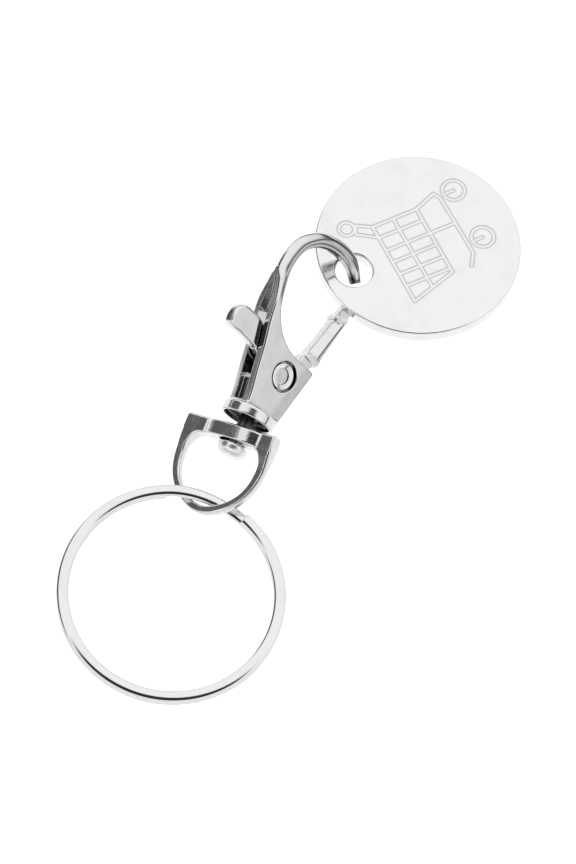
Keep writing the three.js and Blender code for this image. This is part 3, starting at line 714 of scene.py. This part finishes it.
def swivel_stud(x, y, z):
    r = length(x - AXIS_X, z)
    shank = smax(r - 0.85, fabs(y + 0.45) - 2.8, 0.1)
    # peened head: a dome with a hammered flat
    head = smax(length(r, y + 2.75) - 2.05, y + 3.2, 0.12)
    head = smax(head, r - 1.75, 0.25)
    head = smax(head, -y - 4.62, 0.30)
    head = smax(head, -(length(r, y + 6.3) - 1.78), 0.14)
    s = smin(shank, head, 0.05)
    return s


# painted shade on the stud's shank above its head, in the gap up to the eye's crossbar
piece(carved("swivel_rivet", swivel_stud, (-2.15, -4.8, -1.85), (1.6, 2.4, 1.85), 0.05, CLASP, 0.7, lambda p: step01(p[:, 1], -2.5, -2.3)),
      "clasp", "swivel_stud", STUD)


# ------------------------------------------------------------------ spring
def gate_spring():
    wire, rad, turns, pitch = 0.1, 1.58, 1.8, 0.23
    l1, l2, arc = 1.5, 2.4, 2 * math.pi * 1.58 * 1.8
    s = np.linspace(0, l1 + arc + l2, 420)
    a0 = math.pi * 1.06
    a = a0 - np.clip(s - l1, 0, arc) / rad
    z = 0.16 + pitch * turns * np.clip(s - l1, 0, arc) / arc
    d = np.where(s < l1, l1 - s, 0)
    e = np.maximum(s - l1 - arc, 0)
    x = PIVOT[0] + rad * np.cos(a) - np.sin(a) * d + np.sin(a) * e
    y = PIVOT[1] + rad * np.sin(a) + np.cos(a) * d - np.cos(a) * e
    c = np.stack([x, y, z], 1)
    side = np.stack([np.cos(a), np.sin(a), a * 0], 1)
    up = np.tile([0.0, 0.0, 1.0], (len(s), 1))
    k = np.arange(14) * 2 * math.pi / 14
    return swept("return_spring", c, side, up, np.stack([wire * np.cos(k), wire * np.sin(k)], 1), CLASP)


piece(gate_spring(), "clasp", "gate_spring", SPRING)

# ------------------------------------------------------------------ swivel eye
BAR_H = 1.9
EYE_HALF = [[5.62, 0], [5.72, -1.5], [5.8, -3.3], [5.74, -4.6], [5.52, -5.9], [5.1, -7.05], [4.45, -8.15], [3.45, -9.2], [2.25, -10.0], [1.15, -10.48], [0, -10.65]]
_half = curve(EYE_HALF + [[-1.15, -10.48]], step=0.06)
_half = _half[_half[:, 0] > -1e-6]
EYE_OUT = Outline(np.vstack([_half, (_half * [-1, 1])[::-1]]))


def eye_opening():
    t = np.gradient(_half, axis=0)
    t /= np.linalg.norm(t, axis=1)[:, None]
    w = 1.15 - 0.2 * np.clip((-_half[:, 1] - 2.6) / 5, 0, 1)
    p = _half + np.stack([t[:, 1], -t[:, 0]], 1) * w[:, None]
    p = p[(p[:, 1] < -3.6) & (p[:, 0] > 0)]
    top = curve(np.vstack([[[2.6, -BAR_H], [3.2, -1.92], [3.75, -2.05], [4.2, -2.42], [4.5, -3.0]], p[0:1]]), step=0.06)
    right = np.vstack([top[:-1], p])
    return Outline(np.vstack([right, (right * [-1, 1])[::-1]]))


EYE_OPEN = eye_opening()
_k = np.arange(240) * 2 * math.pi / 240
BOSS = Outline(np.stack([0.35 + 3.55 * np.sign(np.cos(_k)) * np.abs(np.cos(_k)) ** 0.62, 1.8 * np.sign(np.sin(_k)) * np.abs(np.sin(_k)) ** 0.92], 1))


def swivel_eye(x, y, z):
    a = fabs(z)
    out = EYE_OUT(x, y)
    half = 0.52 + (1 - rise(-y, 1.7, 4.6)) * 0.36
    leg = bevelled(out, a - half, 0.16, 0.12)
    # crossbar: its section seen from above is the boss flowing into two thinner ends
    across = fabs(x) - 5.66
    ends = smax(across, a - 0.88, 0.05)
    plan = smin(ends, BOSS(x, z), 0.45)
    bar = bevelled(smax(plan, out, 0.04), -y - BAR_H, 0.10, 0.10)
    bar = bevelled(bar, y, 0.30, 0.10)
    s = smax(leg, -EYE_OPEN(x, y), 0.14)
    s = smax(s, (a - half - EYE_OPEN(x, y) + 0.14) * math.sqrt(0.5), 0.08)
    s = smin(s, bar, 0.10)
    s = smax(s, y, 0.05)
    hole = length(x - 0.35, z) - 1.5
    s = smax(s, -smax(hole, fabs(y + BAR_H / 2) - 2.0), 0.10)
    return s


piece(carved("eye_casting", swivel_eye, (-5.9, -10.7, -1.85), (5.9, 0.05, 1.85), 0.066, EYE, 0.55), "eye", "swivel_eye", EYE_CAST)


# ------------------------------------------------------------------ split ring
def split_ring():
    hw, hh = 0.68, 0.36
    r = 12.62 - hw
    ramp = 42.0
    total = 720 - ramp - 3
    a = np.linspace(0, total, 1100)
    k = np.clip((a - (360 - ramp)) / (ramp - 3), 0, 1)
    z = -0.37 + 0.74 * (0.5 - 0.5 * np.cos(math.pi * k))
    th = np.radians(93 + a)
    c = np.stack([r * np.cos(th), r * np.sin(th), z], 1)
    side = np.stack([np.cos(th), np.sin(th), th * 0], 1)
    up = np.tile([0.0, 0.0, 1.0], (len(a), 1))
    # rounded oblong
    q = np.arange(40) * 2 * math.pi / 40
    sec = np.stack([hw * np.sign(np.cos(q)) * np.abs(np.cos(q)) ** 0.87, hh * np.sign(np.sin(q)) * np.abs(np.sin(q)) ** 0.87], 1)
    o = swept("split_ring_wire", c, side, up, sec, RING)
    return o


piece(split_ring(), "ring", "split_ring", WIRE)

# ------------------------------------------------------------------ token
GROOVE_W, GROOVE_D = 0.20, 0.036


def trolley(x, y):
    """Distance to the lines of the trolley cut into the face, seen from its side."""
    best = None

    def line(*pts, w=0.0):
        nonlocal best
        for (ax, ay), (bx, by) in zip(pts, pts[1:]):
            ex, ey = bx - ax, by - ay
            l2 = ex * ex + ey * ey
            t = np.clip(((x.v - ax) * ex + (y.v - ay) * ey) / l2, 0, 1)
            dx, dy = x.v - ax - t * ex, y.v - ay - t * ey
            d = np.sqrt(dx * dx + dy * dy) + 1e-9
            f = F(d, None if x.g is None else [(dx * gx + dy * gy) / d for gx, gy in zip(x.g, y.g)])
            best = f if best is None else smin(best, f, 0.0)

    def ring(cx, cy, r):
        nonlocal best
        best = smin(best, fabs(length(x - cx, y - cy) - r), 0.0)

    left, mid, right = -3.62, -1.03, 1.88
    line((left, 4.15), (left, -6.35))
    line((mid, 4.15), (mid, -5.55))
    line((right, 4.15), (right, -4.75))
    for yy in (2.58, 0.76, -0.86, -2.56, -4.22):
        line((left, yy), (right, yy))
    line((left, -6.35), (right, -4.75))
    line((-5.25, 5.08), (left, 4.12), (right, 4.15), (4.52, 5.16))
    line((4.52, 5.16), (4.96, 4.3), (5.12, -2.5), (5.08, -3.55), (4.2, -4.92))
    line((right, 0.76), (5.05, 0.76))
    line((-5.75, 4.05), (left, 2.62))
    line((-5.28, 5.05), (-5.72, 4.15))
    ring(-6.38, 5.08, 0.86)
    ring(6.77, 4.63, 1.26)
    ring(6.99, -2.13, 1.26)
    line((5.85, 4.6), (6.72, 4.6))
    line((6.07, -2.16), (6.94, -2.16))
    return best


def token_disc(x, y, z):
    r = length(x, y)
    cut = trolley(x, y)
    depth = (1 - rise(cut, GROOVE_W - 0.11, GROOVE_W + 0.07)) * GROOVE_D
    top = z - 0.8 + depth
    s = bevelled(r - 11.5, -z - 0.8, 0.12, 0.12)
    s = smax(s, bevelled(r - 11.5, top, 0.12, 0.12), 0.0)
    h = length(x + 8.0, y) - 2.05
    s = smax(s, -h, 0.10)
    s = smax(s, (fabs(z) - 0.8 - h + 0.16) * math.sqrt(0.5), 0.08)
    return s


def painted_groove_shade(p):
    """Painted shade on the slopes of the cut lines: how far each point of the face is on a line's slope, 0 to 1."""
    f = trolley(F(p[:, 0]), F(p[:, 1])).v
    return np.exp(-((f - GROOVE_W) / 0.075) ** 2) * (p[:, 2] > 0.6)


piece(carved("token_plate", token_disc, (-11.5, -11.5, -0.8), (11.5, 11.5, 0.8), 0.072, TOKEN, 0.34, painted_groove_shade), "token", "token_disc", COIN)

# ------------------------------------------------------------------ floor, light, camera
TARGET = np.array([-0.26958, -0.06021, -0.01320]) * MM
ELEVATION, DISTANCE = math.radians(68.0), 0.9



def sheet(name, radius=1.6):
    bpy.ops.mesh.primitive_circle_add(vertices=96, radius=radius, fill_type="NGON", location=(0, 0, 0))
    o = bpy.context.object
    o.name = name
    m = bpy.data.materials.new(name)
    m.use_nodes = True
    m.node_tree.nodes.clear()
    o.data.materials.append(m)
    return o, Nodes(m.node_tree)


# the sheet that is seen: lit, and bright enough to be white all over
floor, n = sheet("white_sheet")
out = n.new("ShaderNodeOutputMaterial")
mixer = n.new("ShaderNodeAddShader")
dif = n.new("ShaderNodeBsdfDiffuse")
dif.inputs["Color"].default_value = (0.82, 0.82, 0.82, 1)
glow = n.new("ShaderNodeEmission")
glow.inputs["Color"].default_value = (1, 1, 1, 1)
glow.inputs["Strength"].default_value = 0.62
n.link(dif.outputs[0], mixer.inputs[0])
n.link(glow.outputs[0], mixer.inputs[1])
n.link(mixer.outputs[0], out.inputs[0])
floor.visible_glossy = False

# the sheet that the metal mirrors: only lit, with a painted pool of light that makes it darker further out
table, n = sheet("mirrored_sheet")
out = n.new("ShaderNodeOutputMaterial")
dif = n.new("ShaderNodeBsdfDiffuse")
tc = n.new("ShaderNodeTexCoord")
away = n.new("ShaderNodeVectorMath", operation="LENGTH")
n.link(tc.outputs["Object"], away.inputs[0])
shade = n.new("ShaderNodeMix", data_type="RGBA")
shade.inputs["A"].default_value = (0.86, 0.86, 0.86, 1)
shade.inputs["B"].default_value = (0.12, 0.12, 0.12, 1)
n.link(n.ramp(away.outputs["Value"], 0.035, 0.11), shade.inputs["Factor"])
n.link(shade.outputs["Result"], dif.inputs["Color"])
n.link(dif.outputs[0], out.inputs[0])
table.visible_camera = False

lamp_data = bpy.data.lights.new("soft_box", "AREA")
lamp_data.shape = "DISK"
lamp_data.size = 0.26
lamp_data.energy = 0.21
lamp = bpy.data.objects.new("soft_box", lamp_data)
bpy.context.scene.collection.objects.link(lamp)
lamp.location = (0, 0, 0.12)
lamp.visible_camera = False
lamp.visible_glossy = False

world = bpy.data.worlds.new("studio")
bpy.context.scene.world = world
world.use_nodes = True
world.node_tree.nodes.clear()
n = Nodes(world.node_tree)
out = n.new("ShaderNodeOutputWorld")
bg = n.new("ShaderNodeBackground")
n.link(bg.outputs[0], out.inputs[0])
tc = n.new("ShaderNodeTexCoord")
ray = tc.outputs["Generated"]


def along(v):
    d = n.new("ShaderNodeVectorMath", operation="DOT_PRODUCT")
    n.link(ray, d.inputs[0])
    d.inputs[1].default_value = v
    return d.outputs["Value"]


def patch(centre, up, half_a, half_b, value, soft=0.25):
    """A darker oval of the room: half sizes in degrees, across and along up; value is its share of the light."""
    c = np.array(centre, float)
    c /= np.linalg.norm(c)
    u = np.array(up, float)
    u -= c * (u @ c)
    u /= np.linalg.norm(u)
    s = np.cross(u, c)
    a = n.math("DIVIDE", along(tuple(s)), math.sin(math.radians(half_a)))
    b = n.math("DIVIDE", along(tuple(u)), math.sin(math.radians(half_b)))
    q = n.math("SQRT", n.math("ADD", n.math("MULTIPLY", a, a), n.math("MULTIPLY", b, b)))
    inside = n.ramp(q, 1 - soft, 1 + soft, value, 1.0)
    front = n.ramp(along(tuple(c)), 0.0, 0.05)
    # 1 behind the viewer's side of the room
    return n.math("ADD", n.math("MULTIPLY", inside, front), n.math("SUBTRACT", 1.0, front))


# low walls and the table's edge are dark, the room is brighter higher up
light = n.math("ADD", n.ramp(along((0, 0, 1)), 0.015, 0.085, 0.18, 0.86), n.ramp(along((0, 0, 1)), 0.10, 0.55, 0.0, 0.18))
for args in (
    # the camera and who holds it, overhead and towards the front
    ((0.0, -0.30, 0.954), (0, 1, 0), 34, 22, 0.03, 0.14),
    # a dark wall on the left
    ((-0.80, 0.36, 0.46), (0, 0, 1), 30, 22, 0.12, 0.20),
):
    light = n.math("MULTIPLY", light, patch(*args))
strength = n.math("MULTIPLY", light, 1.42)
n.link(strength, bg.inputs["Strength"])

cam_data = bpy.data.cameras.new("camera")
cam = bpy.data.objects.new("camera", cam_data)
bpy.context.scene.collection.objects.link(cam)
cam_data.sensor_width = 36.0
cam_data.lens = 9.035 * 900 * 36.0 / 864.0
cam_data.clip_start, cam_data.clip_end = 0.01, 10.0
back = np.array([0.0, -math.cos(ELEVATION), math.sin(ELEVATION)])
cam.location = TARGET + back * DISTANCE
cam.rotation_euler = (math.pi / 2 - ELEVATION, 0, 0)
bpy.context.scene.camera = cam
bpy.context.scene.view_settings.view_transform = "Standard"
